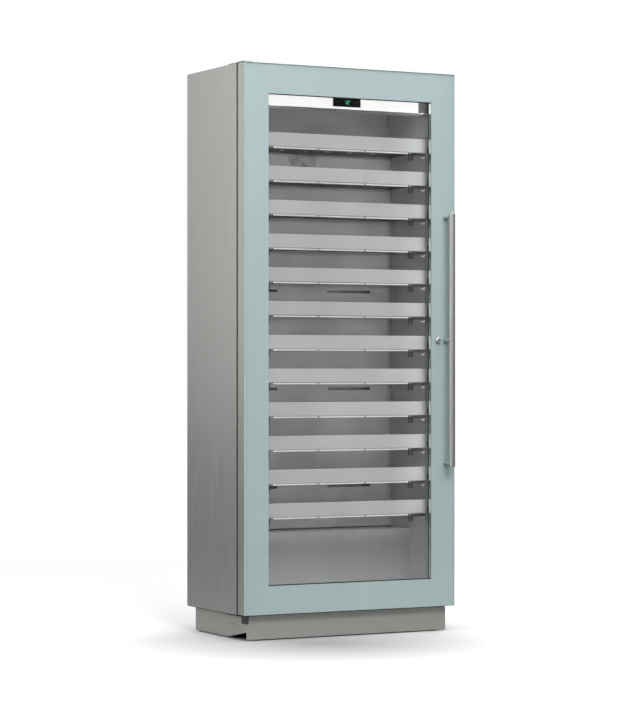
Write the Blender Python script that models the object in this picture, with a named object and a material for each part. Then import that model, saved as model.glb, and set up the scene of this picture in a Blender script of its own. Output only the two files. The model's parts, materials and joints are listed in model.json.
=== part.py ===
"""Built-in wine cooler column with a full-height glass door and twelve sliding bottle shelves.

Metres, +Z up, the door faces -Y. The origin is on the floor, in the middle of the footprint.
"""

from math import acos, copysign, cos, pi, radians, sin

import bmesh
import bpy
from mathutils import Matrix, Vector

# ---------------------------------------------------------------- driving dimensions
HALF_WIDTH = 0.450
CASE_BOTTOM = 0.096
CASE_TOP = 2.131
CASE_FRONT = -0.1505
CASE_BACK = 0.2745
GAP = 0.0003
SHEET = 0.0015

# insulated body
LINER = 0.002
CAVITY_HALF = 0.400
CAVITY_FLOOR = 0.150
CAVITY_TOP = 2.0765
CAVITY_BACK = 0.2205
STEP_TOP = 0.380
STEP_FRONT = 0.045
MACHINE_FRONT = 0.090
MACHINE_TOP = 0.330

# door and its glazing
DOOR_FRONT = -0.2165
DOOR_BACK = -0.1605
FRONT_GLASS = 0.005
INNER_GLASS = 0.004
INNER_GLASS_FRONT = -0.1885
CHANNEL = 0.002
WINDOW_HALF = 0.348
WINDOW_LOW = 0.202
WINDOW_HIGH = 2.019
SPACER_WIDTH = 0.013
REAR_OPENING = (0.380, 0.170, 2.052)
HINGE_X = -0.4365
HINGE_Y = -0.1935
HINGE_PIN = 0.004
PIN_PLAY = 0.0006

# handle and lock
HANDLE_X = 0.410
HANDLE_Y = -0.2625
HANDLE_RADIUS = 0.012
HANDLE_LOW = 0.629
HANDLE_HIGH = 1.596
HANDLE_POSTS = (0.644, 1.1125, 1.583)
POST_RADIUS = 0.0075
ROSETTE_RADIUS = 0.011
LOCK_X = 0.377
LOCK_Z = 1.1125
LOCK_BARREL = 0.007
LOCK_HEAD = 0.0105

# shelves
SHELVES = 12
TOP_SHELF = 1.8582
SHELF_PITCH = 0.12578
BAND_HALF = 0.372
BAND_HEIGHT = 0.052
BAND_FRONT = -0.1415
BAND_DEPTH = 0.0175
BOTTLE_PITCH = 0.100
BOTTLES = 7
CRADLE_RADIUS = 0.040
CRADLE_CENTRE = 0.028
CRADLE_ARC = 4
BAR_LOW = -0.020
BAR_HIGH = 0.002
BRACE_HIGH = -0.013
RACK_BACK = 0.172
RUNNER_INNER = 0.378
RUNNER_OUTER = 0.396
RUNNER_LOW = -0.023
RUNNER_HIGH = -0.003
LEDGE = 0.0018
LEDGE_TIP = 0.3765
RAIL_BELOW = 0.035
RAIL_ABOVE = 0.040

# control header
HEADER_LOW = 1.9855
HEADER_FACE = -0.1252
HEADER_LIP = -0.1400
HEADER_LIP_LOW = 2.056
HEADER_BLOCK = (0.3338, 0.370)
DISPLAY = (-0.0395, 0.0795, 1.9923)

# plinth and feet
PLINTH_HALF = 0.426
PLINTH_FRONT = -0.1865
PLINTH_BACK = 0.2495
PLINTH_BOTTOM = 0.004
PLINTH_TOP = 0.0915
CHANNEL_LOW = 0.066
CHANNEL_OUTER = ((-0.4215, -0.1835), (0.4215, 0.2470))
CHANNEL_INNER = ((-0.3520, -0.1390), (0.3520, 0.2080))
FOOT_RADIUS = 0.0175
STEM_RADIUS = 0.005
FEET = {
    "foot_front_left": (-0.376, -0.1615),
    "foot_front_right": (0.376, -0.1615),
    "foot_back_left": (-0.400, 0.2275),
    "foot_back_right": (0.400, 0.2275),
}

# air circuit and refrigeration
DUCT_FRONT = 0.1790
DUCT_SHEET = 0.0020
DUCT_LOW = 0.385
DUCT_HIGH = 1.960
EVAPORATOR_FAN = (0.0, 0.1880, 1.830)
CONDENSER_FAN = (0.050, 0.1815, 0.205)
COMPRESSOR = (-0.280, 0.1815)
BLADES = 5
BLADE_THICKNESS = 0.0016
BORE_RADIUS = 0.0036
SHAFT_RADIUS = 0.0030
PIPE_RADIUS = 0.005

# colour, roughness, metallic
STEEL = ((0.42, 0.41, 0.39), 0.38, 1.0)
PLINTH_STEEL = ((0.30, 0.29, 0.27), 0.45, 1.0)
POLISHED = ((0.72, 0.72, 0.72), 0.12, 1.0)
ALUMINIUM = ((0.62, 0.64, 0.64), 0.35, 1.0)
GALVANISED = ((0.36, 0.37, 0.38), 0.5, 1.0)
TEAL_GLASS = ((0.38, 0.50, 0.49), 0.06, 0.0)
CLEAR_GLASS = ((0.80, 0.86, 0.85), 0.04, 0.0)
BLACK_METAL = ((0.03, 0.03, 0.03), 0.4, 0.6)
BLACK_PLASTIC = ((0.02, 0.02, 0.02), 0.5, 0.0)
GREY_LINER = ((0.34, 0.35, 0.35), 0.5, 0.0)
GREY_PAINT = ((0.22, 0.23, 0.23), 0.4, 0.3)
WHITE_PLASTIC = ((0.88, 0.90, 0.90), 0.4, 0.0)
STAINED_BEECH = ((0.060, 0.040, 0.028), 0.55, 0.0)
RUBBER = ((0.02, 0.02, 0.02), 0.8, 0.0)
FOAM_YELLOW = ((0.70, 0.60, 0.33), 0.9, 0.0)


# ---------------------------------------------------------------- building blocks
def clear_scene():
    for item in list(bpy.data.objects):
        bpy.data.objects.remove(item)


def surface(name, look):
    colour, roughness, metallic = look
    made = bpy.data.materials.new(name + "_surface")
    made.use_nodes = True
    shader = made.node_tree.nodes["Principled BSDF"]
    shader.inputs["Base Color"].default_value = (*colour, 1.0)
    shader.inputs["Roughness"].default_value = roughness
    shader.inputs["Metallic"].default_value = metallic
    return made


def solid(name, vertices, faces, look):
    """A closed mesh object with its faces turned outwards."""
    mesh = bpy.data.meshes.new(name)
    mesh.from_pydata(vertices, [], faces)
    shape = bmesh.new()
    shape.from_mesh(mesh)
    bmesh.ops.recalc_face_normals(shape, faces=shape.faces)
    shape.to_mesh(mesh)
    shape.free()
    mesh.materials.append(surface(name, look))
    made = bpy.data.objects.new(name, mesh)
    bpy.context.scene.collection.objects.link(made)
    return made


def along(axis, across, up, distance):
    """A point from two coordinates in a section and its distance along the section's axis."""
    if axis == "X":
        return (distance, across, up)
    if axis == "Y":
        return (across, distance, up)
    return (across, up, distance)


def prism(name, outline, axis, low, high, look):
    """A straight bar: its section's outline runs from low to high along an axis."""
    count = len(outline)
    vertices = [along(axis, *point, low) for point in outline]
    vertices += [along(axis, *point, high) for point in outline]
    sides = [(i, (i + 1) % count, (i + 1) % count + count, i + count) for i in range(count)]
    caps = [tuple(range(count)), tuple(range(2 * count - 1, count - 1, -1))]
    return solid(name, vertices, sides + caps, look)


def rectangle(low, high):
    return [low, (high[0], low[1]), high, (low[0], high[1])]


def box(name, low, high, look):
    return prism(name, rectangle(low[:2], high[:2]), "Z", low[2], high[2], look)


def frame_ring(name, section, look):
    """A mitred frame: each point of its section is a (half width, low z, high z) loop at a depth y."""
    vertices = []
    for (half, low, high), y in section:
        for x, z in rectangle((-half, low), (half, high)):
            vertices.append((x, y, z))
    count = len(section)
    faces = []
    for ring in range(count):
        here, there = 4 * ring, 4 * ((ring + 1) % count)
        for corner in range(4):
            after = (corner + 1) % 4
            faces.append((here + corner, here + after, there + after, there + corner))
    return solid(name, vertices, faces, look)


def slotted_plate(name, columns, rows, y_low, y_high, look):
    """An upright plate. Every odd cell of the column and row breaks is a slot."""
    def filled(i, j):
        inside = 0 <= i < len(columns) - 1 and 0 <= j < len(rows) - 1
        return inside and not (i % 2 and j % 2)

    def corner(i, j, side):
        return (side * len(columns) + i) * len(rows) + j

    vertices = [(x, y, z) for y in (y_low, y_high) for x in columns for z in rows]
    faces = []
    for i in range(len(columns) - 1):
        for j in range(len(rows) - 1):
            if not filled(i, j):
                continue
            loop = [(i, j), (i + 1, j), (i + 1, j + 1), (i, j + 1)]
            faces += [[corner(*at, side) for at in loop] for side in (0, 1)]
            beside = [(i, j - 1), (i + 1, j), (i, j + 1), (i - 1, j)]
            for n, cell in enumerate(beside):
                if not filled(*cell):
                    a, b = loop[n], loop[(n + 1) % 4]
                    faces.append([corner(*a, 0), corner(*b, 0), corner(*b, 1), corner(*a, 1)])
    return solid(name, vertices, faces, look)


def turned(name, profile, axis, centre, look, segments=16):
    """A turned piece: its profile is a list of (radius, distance along the axis)."""
    vertices = []
    for radius, distance in profile:
        for n in range(segments):
            angle = 2 * pi * n / segments
            spot = along(axis, radius * cos(angle), radius * sin(angle), distance)
            vertices.append(Vector(centre) + Vector(spot))
    faces = []
    for ring in range(len(profile) - 1):
        for n in range(segments):
            after = (n + 1) % segments
            low, high = ring * segments, (ring + 1) * segments
            faces.append((low + n, low + after, high + after, high + n))
    last = (len(profile) - 1) * segments
    faces.append(tuple(range(segments)))
    faces.append(tuple(range(last + segments - 1, last - 1, -1)))
    made = solid(name, vertices, faces, look)
    made.data.shade_smooth()
    made.data.set_sharp_from_angle(angle=radians(35))
    return made


def rod(radius, axis, centre, low, high, segments=16):
    return turned("tool", [(radius, low), (radius, high)], axis, centre, GALVANISED, segments)


def combine(target, tool, operation):
    """Cuts the tool from the target, or joins it on, and removes the tool."""
    step = target.modifiers.new("Boolean", "BOOLEAN")
    step.operation = operation
    step.solver = "EXACT"
    step.object = tool
    finished = target.evaluated_get(bpy.context.evaluated_depsgraph_get())
    mesh = bpy.data.meshes.new_from_object(finished)
    target.modifiers.clear()
    target.data = mesh
    target.data.materials.clear()
    target.data.materials.append(bpy.data.materials[target.name + "_surface"])
    bpy.data.objects.remove(tool)


def cut(target, *tools):
    for tool in tools:
        combine(target, tool, "DIFFERENCE")


def join(target, *tools):
    for tool in tools:
        combine(target, tool, "UNION")


def pivot(name, location):
    """An empty that stands on a joint's axis."""
    made = bpy.data.objects.new(name, None)
    made.empty_display_size = 0.05
    made.location = location
    bpy.context.scene.collection.objects.link(made)
    return made


def carry(holder, *items):
    """Hangs objects modelled in place on a pivot."""
    for item in items:
        item.data.transform(Matrix.Translation(-holder.location))
        item.parent = holder


def soften(item, width):
    """Rounds an object's sharp edges."""
    bevel = item.modifiers.new("Bevel", "BEVEL")
    bevel.width = width
    bevel.segments = 1
    bevel.limit_method = "ANGLE"
    bevel.angle_limit = radians(40)


# ---------------------------------------------------------------- insulated case
def case_panels():
    inner = HALF_WIDTH - SHEET
    for name, side in (("left_side_panel", -1), ("right_side_panel", 1)):
        low, high = sorted((side * HALF_WIDTH, side * inner))
        box(name, (low, CASE_FRONT, CASE_BOTTOM), (high, CASE_BACK, CASE_TOP), STEEL)
    fit = inner - GAP
    front = CASE_FRONT + SHEET + GAP
    back = CASE_BACK - SHEET - GAP
    box("top_panel", (-fit, front, CASE_TOP - SHEET), (fit, back, CASE_TOP), GALVANISED)
    vents_x = [-fit, -0.34, -0.04, 0.04, 0.34, fit]
    vents_z = [CASE_BOTTOM]
    for slot in range(5):
        vents_z += [0.135 + 0.034 * slot, 0.147 + 0.034 * slot]
    vents_z.append(CASE_TOP)
    slotted_plate("rear_panel", vents_x, vents_z, CASE_BACK - SHEET, CASE_BACK, GALVANISED)
    outer = (fit, CASE_BOTTOM, CASE_TOP)
    opening = (CAVITY_HALF - 0.0015, CAVITY_FLOOR + 0.002, CAVITY_TOP - 0.002)
    face, behind = CASE_FRONT, CASE_FRONT + SHEET
    section = [(outer, face), (outer, behind), (opening, behind), (opening, face)]
    frame_ring("face_frame", section, STEEL)


def cavity_outline(grow, front):
    """The side view of the refrigerated space, with the step over the machine compartment."""
    return [
        (front, CAVITY_FLOOR - grow),
        (STEP_FRONT + grow, CAVITY_FLOOR - grow),
        (STEP_FRONT + grow, STEP_TOP - grow),
        (CAVITY_BACK + grow, STEP_TOP - grow),
        (CAVITY_BACK + grow, CAVITY_TOP + grow),
        (front, CAVITY_TOP + grow),
    ]


def inner_liner():
    front = CASE_FRONT + SHEET + GAP
    half = CAVITY_HALF + LINER
    liner = prism("inner_liner", cavity_outline(LINER, front), "X", -half, half, GREY_LINER)
    space = cavity_outline(0.0, front - 0.01)
    cut(liner, prism("tool", space, "X", -CAVITY_HALF, CAVITY_HALF, GREY_LINER))


def insulation_foam():
    front = CASE_FRONT + SHEET + GAP
    back = CASE_BACK - SHEET - GAP
    low = CASE_BOTTOM + SHEET + GAP
    high = CASE_TOP - SHEET - GAP
    half = HALF_WIDTH - SHEET - GAP
    outline = [
        (front, low),
        (MACHINE_FRONT, low),
        (MACHINE_FRONT, MACHINE_TOP),
        (back, MACHINE_TOP),
        (back, high),
        (front, high),
    ]
    foam = prism("insulation_foam", outline, "X", -half, half, FOAM_YELLOW)
    space = cavity_outline(LINER + GAP, front - 0.01)
    reach = CAVITY_HALF + LINER + GAP
    cut(foam, prism("tool", space, "X", -reach, reach, FOAM_YELLOW))


# ---------------------------------------------------------------- plinth and feet
def base_frame():
    """The floor pan, welded on a folded channel that the feet screw into."""
    half = HALF_WIDTH - SHEET - GAP
    front = CASE_FRONT + SHEET + GAP
    back = CASE_BACK - SHEET - GAP
    pan_low = CASE_BOTTOM - SHEET

    def shrunk(corners, by):
        (x0, y0), (x1, y1) = corners
        return rectangle((x0 + by, y0 + by), (x1 - by, y1 - by))

    pan = rectangle((-half, front), (half, back))
    frame = prism("base_frame", pan, "Z", pan_low, CASE_BOTTOM + SHEET, BLACK_METAL)
    join(frame, prism("tool", shrunk(CHANNEL_OUTER, 0.0), "Z", CHANNEL_LOW, CASE_BOTTOM, BLACK_METAL))
    hollow = prism("tool", shrunk(CHANNEL_OUTER, CHANNEL), "Z", 0.0, pan_low - CHANNEL, BLACK_METAL)
    cut(hollow, prism("tool", shrunk(CHANNEL_INNER, -CHANNEL), "Z", -0.01, CASE_TOP, BLACK_METAL))
    middle = prism("tool", shrunk(CHANNEL_INNER, 0.0), "Z", 0.0, pan_low, BLACK_METAL)
    cut(frame, hollow, middle)
    hole = STEM_RADIUS + PIN_PLAY
    for x, y in FEET.values():
        cut(frame, rod(hole, "Z", (x, y, 0.0), CHANNEL_LOW, pan_low - 0.0003, 12))


def plinth():
    low, high = PLINTH_BOTTOM, PLINTH_TOP
    face = (-PLINTH_HALF, PLINTH_FRONT, low)
    behind = PLINTH_FRONT + SHEET
    kick = box("kick_plate", face, (PLINTH_HALF, behind, high), PLINTH_STEEL)
    soften(kick, 0.0004)
    front = behind + GAP
    inside = PLINTH_HALF - SHEET
    outline = [
        (-PLINTH_HALF, front),
        (-inside, front),
        (-inside, PLINTH_BACK - SHEET),
        (inside, PLINTH_BACK - SHEET),
        (inside, front),
        (PLINTH_HALF, front),
        (PLINTH_HALF, PLINTH_BACK),
        (-PLINTH_HALF, PLINTH_BACK),
    ]
    skirt = prism("plinth_skirt", outline, "Z", low, high, PLINTH_STEEL)
    notch = [(front - 0.02, low - 0.002), (front + 0.160, low - 0.001), (front - 0.02, 0.036)]
    cut(skirt, prism("tool", notch, "X", -0.5, 0.5, PLINTH_STEEL))


def foot(name, x, y):
    top = CASE_BOTTOM - SHEET - 0.0012
    profile = [
        (FOOT_RADIUS - 0.002, 0.0),
        (FOOT_RADIUS, 0.002),
        (FOOT_RADIUS, 0.008),
        (0.009, 0.012),
        (0.009, 0.020),
        (STEM_RADIUS, 0.020),
        (STEM_RADIUS, top),
    ]
    made = turned(name, profile, "Z", (x, y, 0.0), BLACK_PLASTIC, 12)
    carry(pivot(name + "_axis", (x, y, 0.0)), made)


# ---------------------------------------------------------------- shelves
def shelf_band():
    """A shelf's front: a flat band with eased edges."""
    face, back = BAND_FRONT, BAND_FRONT + BAND_DEPTH
    half = BAND_HEIGHT / 2
    ease = 0.0015
    outline = [
        (back, -half),
        (back, half),
        (face + ease, half),
        (face, half - ease),
        (face, ease - half),
        (face + ease, -half),
    ]
    return prism("shelf_01_front", outline, "X", -BAND_HALF, BAND_HALF, ALUMINIUM)


def cradle_outline():
    """A rack bar seen from the front: a row of round bottle cradles."""
    tenon, shoulder = RUNNER_HIGH - 0.001, LEDGE_TIP - 0.002
    half = RUNNER_INNER + 0.003
    reach = acos((CRADLE_CENTRE - BAR_HIGH) / CRADLE_RADIUS)
    points = [(-half, BAR_LOW), (-half, tenon), (-shoulder, tenon), (-shoulder, BAR_HIGH)]
    for bottle in range(BOTTLES):
        middle = (bottle - (BOTTLES - 1) / 2) * BOTTLE_PITCH
        for step in range(CRADLE_ARC + 1):
            swing = reach * (2 * step / CRADLE_ARC - 1)
            x = middle + CRADLE_RADIUS * sin(swing)
            points.append((x, CRADLE_CENTRE - CRADLE_RADIUS * cos(swing)))
    return points + [(shoulder, BAR_HIGH), (shoulder, tenon), (half, tenon), (half, BAR_LOW)]


def shelf_rack():
    """Two cradle bars and a brace between the runners that slide in the wall channels."""
    front = BAND_FRONT + BAND_DEPTH + GAP
    bars = [(front, front + 0.014), (RACK_BACK - 0.014, RACK_BACK)]
    half = RUNNER_INNER + 0.003
    brace = rectangle((-half, BAR_LOW), (half, BRACE_HIGH))
    runner = [(RUNNER_INNER, RUNNER_LOW), (RUNNER_OUTER, RUNNER_HIGH)]
    start = front + 0.003
    rack = prism("shelf_01_rack", rectangle(*runner), "Y", start, RACK_BACK - 0.001, STAINED_BEECH)
    for bar in bars:
        join(rack, prism("tool", cradle_outline(), "Y", *bar, STAINED_BEECH))
    other = rectangle((-RUNNER_OUTER, RUNNER_LOW), (-RUNNER_INNER, RUNNER_HIGH))
    join(rack, prism("tool", other, "Y", start, RACK_BACK - 0.001, STAINED_BEECH))
    join(rack, prism("tool", brace, "Y", 0.016, 0.032, STAINED_BEECH))
    return rack


def shelves():
    """All shelves share one front and one rack, hung on a pivot at each shelf's height."""
    first = [shelf_band(), shelf_rack()]
    for number in range(SHELVES):
        height = TOP_SHELF - number * SHELF_PITCH
        holder = pivot(f"shelf_{number + 1:02d}_slide", (0.0, 0.0, height))
        for piece in first:
            if number == 0:
                made = piece
            else:
                name = piece.name.replace("01", f"{number + 1:02d}")
                made = bpy.data.objects.new(name, piece.data)
                bpy.context.scene.collection.objects.link(made)
            made.parent = holder


def rail_ladder(name, side):
    """A wall plate with a folded channel for each shelf's runner."""
    plate, wall = CAVITY_HALF - 0.0023, CAVITY_HALF - GAP
    low = TOP_SHELF - (SHELVES - 1) * SHELF_PITCH - RAIL_BELOW
    high = TOP_SHELF + RAIL_ABOVE
    points = [(wall, high), (wall, low), (plate, low)]
    for number in reversed(range(SHELVES)):
        height = TOP_SHELF - number * SHELF_PITCH
        under = height + RUNNER_LOW - GAP
        over = height + RUNNER_HIGH + GAP
        for bottom in (under - LEDGE, over):
            points += [(plate, bottom), (LEDGE_TIP, bottom)]
            points += [(LEDGE_TIP, bottom + LEDGE), (plate, bottom + LEDGE)]
    points.append((plate, high))
    outline = [(side * x, z) for x, z in points]
    prism(name, outline, "Y", -0.121, 0.171, GREY_PAINT)


# ---------------------------------------------------------------- header
def control_header():
    ceiling = CAVITY_TOP - GAP
    outline = [
        (HEADER_FACE, HEADER_LOW),
        (-0.020, HEADER_LOW),
        (0.030, 2.030),
        (0.030, ceiling),
        (HEADER_LIP, ceiling),
        (HEADER_LIP, HEADER_LIP_LOW),
        (HEADER_FACE, HEADER_LIP_LOW),
    ]
    half = CAVITY_HALF - 0.0015
    header = prism("control_header", outline, "X", -half, half, GREY_LINER)
    block_start, block_end = HEADER_BLOCK
    block_low = (block_start, HEADER_LIP, HEADER_LOW)
    block_high = (block_end, HEADER_FACE + 0.005, HEADER_LIP_LOW + 0.004)
    join(header, box("tool", block_low, block_high, GREY_LINER))
    left, right, low = DISPLAY
    start, end = -block_end, block_start - GAP
    top = HEADER_LIP_LOW - GAP
    strip = [
        (start, HEADER_LOW),
        (end, HEADER_LOW),
        (end, top),
        (right + GAP, top),
        (right + GAP, low - GAP),
        (left - GAP, low - GAP),
        (left - GAP, top),
        (start, top),
    ]
    prism("light_diffuser", strip, "Y", HEADER_LIP, HEADER_FACE - GAP, WHITE_PLASTIC)
    face = (left, HEADER_LIP - 0.002, low)
    display = box("display_module", face, (right, HEADER_FACE - GAP, top), BLACK_PLASTIC)
    soften(display, 0.0006)


# ---------------------------------------------------------------- air circuit
def blade(axis, centre, span, depth, turn):
    """A pitched, cambered blade: a lattice of points and its copy one thickness behind."""
    points = []
    for shift in (0.0, copysign(BLADE_THICKNESS, depth)):
        for reach, chord in span:
            for lead in (-1, 0, 1):
                swing = turn + lead * chord / 2
                lift = depth * (0.44 + 0.34 * lead + 0.08 * (1 - abs(lead))) + shift
                spot = along(axis, reach * cos(swing), reach * sin(swing), lift)
                points.append(Vector(centre) + Vector(spot))
    layer = 3 * len(span)
    faces = []
    for here in (0, 1, 3, 4):
        for side in (here, here + layer):
            faces += [(side, side + 1, side + 4), (side, side + 4, side + 3)]
    rim = (0, 1, 2, 5, 8, 7, 6, 3)
    for here, after in zip(rim, rim[1:] + rim[:1]):
        faces.append((here, after, after + layer, here + layer))
    return solid("tool", points, faces, BLACK_PLASTIC)


def impeller(name, axis, centre, radius, hub, depth):
    """A hub with a blind bore for the motor's shaft, and pitched blades. Depth is signed."""
    bore = [(BORE_RADIUS, 0.6 * depth), (BORE_RADIUS, 0.0)]
    profile = bore + [(hub, 0.0), (hub, depth)]
    made = turned(name, profile, axis, centre, BLACK_PLASTIC, 16)
    span = ((0.85 * hub, 0.50), ((hub + radius) / 2, 0.66), (radius, 0.80))
    for number in range(BLADES):
        join(made, blade(axis, centre, span, depth, 2 * pi * number / BLADES))
    carry(pivot(name + "_axis", centre), made)


def air_duct_cover():
    """The rear cover with outlet slots and a moulded spider that holds the fan's motor."""
    half = CAVITY_HALF - 0.0015
    columns = [-half, -0.300, -0.110, 0.110, 0.300, half]
    rows = [DUCT_LOW]
    for slot in range(6):
        rows += [0.540 + 0.190 * slot, 0.552 + 0.190 * slot]
    rows.append(DUCT_HIGH)
    back = DUCT_FRONT + DUCT_SHEET
    cover = slotted_plate("air_duct_cover", columns, rows, DUCT_FRONT, back, GREY_LINER)
    x, y, z = EVAPORATOR_FAN
    cut(cover, rod(0.060, "Y", (x, 0.0, z), DUCT_FRONT - 0.01, back + 0.01, 24))
    for turn in (0.25, 0.75, 1.25, 1.75):
        swing = turn * pi
        arm = box("tool", (0.0, DUCT_FRONT + 0.0002, -0.004), (0.064, back - 0.0002, 0.004), GREY_LINER)
        arm.data.transform(Matrix.Rotation(swing, 4, "Y"))
        arm.data.transform(Matrix.Translation((x, 0.0, z)))
        join(cover, arm)
    join(cover, rod(0.018, "Y", (x, 0.0, z), DUCT_FRONT, y - 0.0015, 16))
    join(cover, rod(SHAFT_RADIUS, "Y", (x, 0.0, z), back, y + 0.006, 12))


def comb(start, pitch, count, fin, tip, root, back):
    """Fins that stand on a strip: the outline runs up the fin side and down the back."""
    points = []
    for number in range(count):
        low = start + number * pitch
        points += [(root, low), (tip, low), (tip, low + fin), (root, low + fin)]
    return [(back, start), *points, (back, start + (count - 1) * pitch + fin)]


def cooling_blocks():
    fins = comb(-0.280, 0.040, 15, 0.004, 0.1900, 0.2050, 0.2150)
    outline = [(x, y) for y, x in fins]
    prism("evaporator", outline, "Z", 1.350, 1.700, ALUMINIUM)
    rows = comb(0.105, 0.020, 10, 0.003, 0.100, 0.250, 0.262)
    prism("condenser", rows, "X", 0.130, 0.300, BLACK_METAL)


def machine_compartment():
    floor = CASE_BOTTOM + SHEET + GAP
    x, y = COMPRESSOR
    shell = [
        (0.062, 0.012),
        (0.078, 0.026),
        (0.080, 0.060),
        (0.080, 0.112),
        (0.074, 0.140),
        (0.054, 0.160),
        (0.020, 0.168),
    ]
    compressor = turned("compressor", shell, "Z", (x, y, floor), BLACK_METAL, 20)
    sole = rectangle((x - 0.095, y - 0.060), (x + 0.095, y + 0.060))
    join(compressor, prism("tool", sole, "Z", floor, floor + 0.016, BLACK_METAL))
    for side in (-1, 1):
        spot = (x, y + 0.020 * side, floor + 0.090)
        join(compressor, rod(PIPE_RADIUS, "X", spot, 0.060, 0.100, 10))
    tray = box("drain_tray", (-0.170, 0.100, floor), (-0.040, 0.262, floor + 0.032), BLACK_PLASTIC)
    cut(tray, box("tool", (-0.168, 0.102, floor + 0.002), (-0.042, 0.260, 0.5), BLACK_PLASTIC))
    fan_x, fan_y, fan_z = CONDENSER_FAN
    motor = box(
        "condenser_fan_motor",
        (fan_x + 0.020, fan_y - 0.018, floor),
        (fan_x + 0.026, fan_y + 0.018, fan_z),
        GALVANISED,
    )
    join(motor, rod(0.022, "X", (fan_x, fan_y, fan_z), 0.0015, 0.040, 16))
    join(motor, rod(SHAFT_RADIUS, "X", (fan_x, fan_y, fan_z), -0.009, 0.005, 12))
    impeller("condenser_fan_impeller", "X", CONDENSER_FAN, 0.075, 0.022, -0.020)
    impeller("evaporator_fan_impeller", "Y", EVAPORATOR_FAN, 0.056, 0.018, 0.016)


# ---------------------------------------------------------------- door
def grown(loop, by):
    half, low, high = loop
    return (half + by, low - by, high + by)


def glazing():
    """The full-size front pane, the inner pane and the spacer frame between them."""
    window = (WINDOW_HALF, WINDOW_LOW, WINDOW_HIGH)
    back = DOOR_FRONT + FRONT_GLASS
    low = (GAP - HALF_WIDTH, DOOR_FRONT, CASE_BOTTOM + GAP)
    front = box("front_pane", low, (HALF_WIDTH - GAP, back, CASE_TOP - GAP), TEAL_GLASS)
    lock = (LOCK_X, 0.0, LOCK_Z)
    cut(front, rod(LOCK_BARREL + PIN_PLAY, "Y", lock, DOOR_FRONT - 0.01, back + 0.01, 20))
    soften(front, 0.0008)
    half, bottom, top = grown(REAR_OPENING, 0.010)
    inner_low = (-half, INNER_GLASS_FRONT, bottom)
    inner_high = (half, INNER_GLASS_FRONT + INNER_GLASS, top)
    inner = box("inner_pane", inner_low, inner_high, CLEAR_GLASS)
    start, end = back + GAP, INNER_GLASS_FRONT - GAP
    rim = grown(window, SPACER_WIDTH)
    section = [(rim, start), (rim, end), (window, end), (window, start)]
    spacer = frame_ring("glazing_spacer", section, BLACK_METAL)
    return [front, inner, spacer]


def door_frame():
    """A folded channel, open towards the glazing, with a lip that holds the inner pane."""
    outer = (HALF_WIDTH - 0.0015, CASE_BOTTOM + 0.0015, CASE_TOP - 0.0015)
    wall = grown(outer, -CHANNEL)
    front_lip = grown((WINDOW_HALF, WINDOW_LOW, WINDOW_HIGH), SPACER_WIDTH + 0.001)
    rear_lip = grown(REAR_OPENING, CHANNEL)
    face = DOOR_FRONT + FRONT_GLASS + GAP
    pane = INNER_GLASS_FRONT + INNER_GLASS + GAP
    section = [
        (outer, face),
        (outer, DOOR_BACK),
        (REAR_OPENING, DOOR_BACK),
        (REAR_OPENING, pane),
        (rear_lip, pane),
        (rear_lip, DOOR_BACK - CHANNEL),
        (wall, DOOR_BACK - CHANNEL),
        (wall, face + CHANNEL),
        (front_lip, face + CHANNEL),
        (front_lip, face),
    ]
    frame = frame_ring("door_frame", section, STEEL)
    hole = HINGE_PIN + PIN_PLAY
    for low in (CASE_BOTTOM - 0.005, CASE_TOP - 0.010):
        cut(frame, rod(hole, "Z", (HINGE_X, HINGE_Y, low), 0.0, 0.015, 16))
    lock = (LOCK_X, face, LOCK_Z)
    cut(frame, rod(LOCK_BARREL + PIN_PLAY, "Y", lock, -0.002, 0.005, 20))
    return frame


def door_gasket():
    outer, inner = (0.430, 0.116, 2.111), (0.404, 0.142, 2.085)
    start, end = DOOR_BACK + GAP, CASE_FRONT - GAP
    nose = start + 0.002
    section = [
        (outer, start),
        (outer, nose),
        (grown(outer, -0.004), end),
        (grown(inner, 0.004), end),
        (inner, nose),
        (inner, start),
    ]
    return frame_ring("door_gasket", section, RUBBER)


def handle():
    """A round bar on three posts."""
    dome = 0.003
    profile = [
        (HANDLE_RADIUS - dome, HANDLE_LOW),
        (HANDLE_RADIUS, HANDLE_LOW + dome),
        (HANDLE_RADIUS, HANDLE_HIGH - dome),
        (HANDLE_RADIUS - dome, HANDLE_HIGH),
    ]
    bar = turned("handle", profile, "Z", (HANDLE_X, HANDLE_Y, 0.0), POLISHED, 20)
    seat = DOOR_FRONT - GAP
    for height in HANDLE_POSTS:
        post = [
            (POST_RADIUS, HANDLE_Y + 0.004),
            (POST_RADIUS, seat - 0.004),
            (ROSETTE_RADIUS, seat - 0.004),
            (ROSETTE_RADIUS, seat),
        ]
        join(bar, turned("tool", post, "Y", (HANDLE_X, 0.0, height), POLISHED, 14))
    bar.data.shade_smooth()
    bar.data.set_sharp_from_angle(angle=radians(35))
    return bar


def lock_cylinder():
    seat = DOOR_FRONT - GAP
    profile = [
        (LOCK_BARREL, DOOR_FRONT + 0.0215),
        (LOCK_BARREL, seat),
        (LOCK_HEAD, seat),
        (LOCK_HEAD, seat - 0.006),
        (0.0090, seat - 0.008),
    ]
    centre = (LOCK_X, 0.0, LOCK_Z)
    made = turned("lock_cylinder", profile, "Y", centre, POLISHED, 20)
    key = [(LOCK_X - 0.0010, LOCK_Z - 0.0045), (LOCK_X + 0.0010, LOCK_Z + 0.0045)]
    cut(made, prism("tool", rectangle(*key), "Y", seat - 0.012, seat - 0.004, POLISHED))
    return made


def door():
    hinge = pivot("door_axis", (HINGE_X, HINGE_Y, CASE_BOTTOM))
    carry(hinge, *glazing(), door_frame(), door_gasket(), handle())
    axis = pivot("lock_axis", Vector((LOCK_X, DOOR_FRONT, LOCK_Z)) - hinge.location)
    axis.parent = hinge
    lock = lock_cylinder()
    lock.data.transform(Matrix.Translation(-Vector((LOCK_X, DOOR_FRONT, LOCK_Z))))
    lock.parent = axis


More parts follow.
